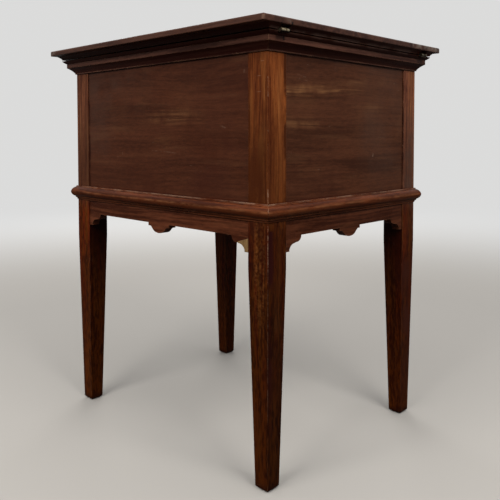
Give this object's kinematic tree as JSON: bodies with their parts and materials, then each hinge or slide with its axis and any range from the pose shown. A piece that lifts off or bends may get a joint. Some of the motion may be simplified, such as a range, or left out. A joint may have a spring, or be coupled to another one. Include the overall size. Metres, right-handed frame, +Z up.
{
  "type": "cellarette",
  "caption": "Mahogany bottle chest on tapered legs, with shaped aprons, a beaded waist, a coved cornice and a hinged moulded lid over bottle compartments.",
  "frame": {"origin": "on the floor, under the middle of the case", "axes": "+Z up; +Y towards the back, where the hinges are; +X towards the right side seen from the front"},
  "size_m": [0.5074, 0.5954, 0.72],
  "materials": {
    "mahogany_upright": "satin",
    "mahogany_panel_across": "satin",
    "mahogany_panel_along": "satin",
    "mahogany_rail_across": "satin",
    "mahogany_rail_along": "satin",
    "mahogany_lid": "satin",
    "repair_wood": "matt",
    "inner_wood": "matt",
    "hinge_brass": "worn",
    "lock_brass": "tarnished"
  },
  "bodies": {
    "carcase": {"post_back_right": "mahogany_upright", "post_back_left": "mahogany_upright", "post_front_right": "mahogany_upright", "post_front_left": "mahogany_upright", "panel_back": "mahogany_panel_across", "apron_back": "mahogany_rail_across", "waist_moulding_back": "mahogany_rail_across", "cornice_back": "mahogany_rail_across", "cap_strip_back": "mahogany_rail_across", "bottom_cleat_back": "inner_wood", "panel_front": "mahogany_panel_across", "apron_front": "mahogany_rail_across", "waist_moulding_front": "mahogany_rail_across", "cornice_front": "mahogany_rail_across", "cap_strip_front": "mahogany_rail_across", "bottom_cleat_front": "inner_wood", "panel_right": "mahogany_panel_along", "apron_right": "mahogany_rail_along", "waist_moulding_right": "mahogany_rail_along", "cornice_right": "mahogany_rail_along", "cap_strip_right": "mahogany_rail_along", "bottom_cleat_right": "inner_wood", "panel_left": "mahogany_panel_along", "apron_left": "mahogany_rail_along", "waist_moulding_left": "mahogany_rail_along", "cornice_left": "mahogany_rail_along", "cap_strip_left": "mahogany_rail_along", "bottom_cleat_left": "inner_wood", "apron_right_tip": "repair_wood", "bottom_board": "inner_wood", "divider_long_left": "inner_wood", "divider_long_right": "inner_wood", "divider_cross_back": "inner_wood", "divider_cross_middle": "inner_wood", "divider_cross_front": "inner_wood", "hinge_left_case_leaf": "hinge_brass", "hinge_left_pin": "hinge_brass", "hinge_right_case_leaf": "hinge_brass", "hinge_right_pin": "hinge_brass", "lock_case": "lock_brass", "lock_selvedge": "lock_brass", "keyhole_escutcheon": "lock_brass", "stay_case_plate": "lock_brass", "stay_case_rivet": "lock_brass"},
    "lid": {"lid_board": "mahogany_lid", "lid_moulding_back": "mahogany_rail_across", "lid_moulding_front": "mahogany_rail_across", "lid_moulding_right": "mahogany_rail_along", "lid_moulding_left": "mahogany_rail_along", "hinge_left_lid_leaf": "hinge_brass", "hinge_right_lid_leaf": "hinge_brass", "lock_link_plate": "lock_brass", "stay_lid_bracket": "lock_brass", "stay_lid_rivet": "lock_brass"},
    "lock_bolt_bar": {"lock_bolt": "lock_brass"},
    "stay_lower": {"stay_lower_arm": "lock_brass", "stay_elbow_rivet": "lock_brass"},
    "stay_upper": {"stay_upper_arm": "lock_brass"}
  },
  "joints": [
    {"name": "lid_hinge", "type": "hinge", "parent": "carcase", "child": "lid", "pos_m": [0, 0.2905, 0.70205], "axis": [-1, 0, 0], "range_deg": [0, 95]},
    {"name": "stay_lower_pivot", "type": "hinge", "parent": "carcase", "child": "stay_lower", "pos_m": [0.192, 0.19335, 0.65045], "axis": [-1, 0, 0], "range_deg": [0, 95]},
    {"name": "stay_upper_pivot", "type": "hinge", "parent": "lid", "child": "stay_upper", "pos_m": [0.19, 0.1805, 0.70205], "axis": [-1, 0, 0], "range_deg": [-95, 0]},
    {"name": "bolt_slide", "type": "slide", "parent": "carcase", "child": "lock_bolt_bar", "axis": [1, 0, 0], "range_m": [0, 0.006]}
  ],
  "couplings": [
    {"joint": "stay_lower_pivot", "follows": "lid_hinge", "ratio": 1},
    {"joint": "stay_upper_pivot", "follows": "lid_hinge", "ratio": -1}
  ]
}
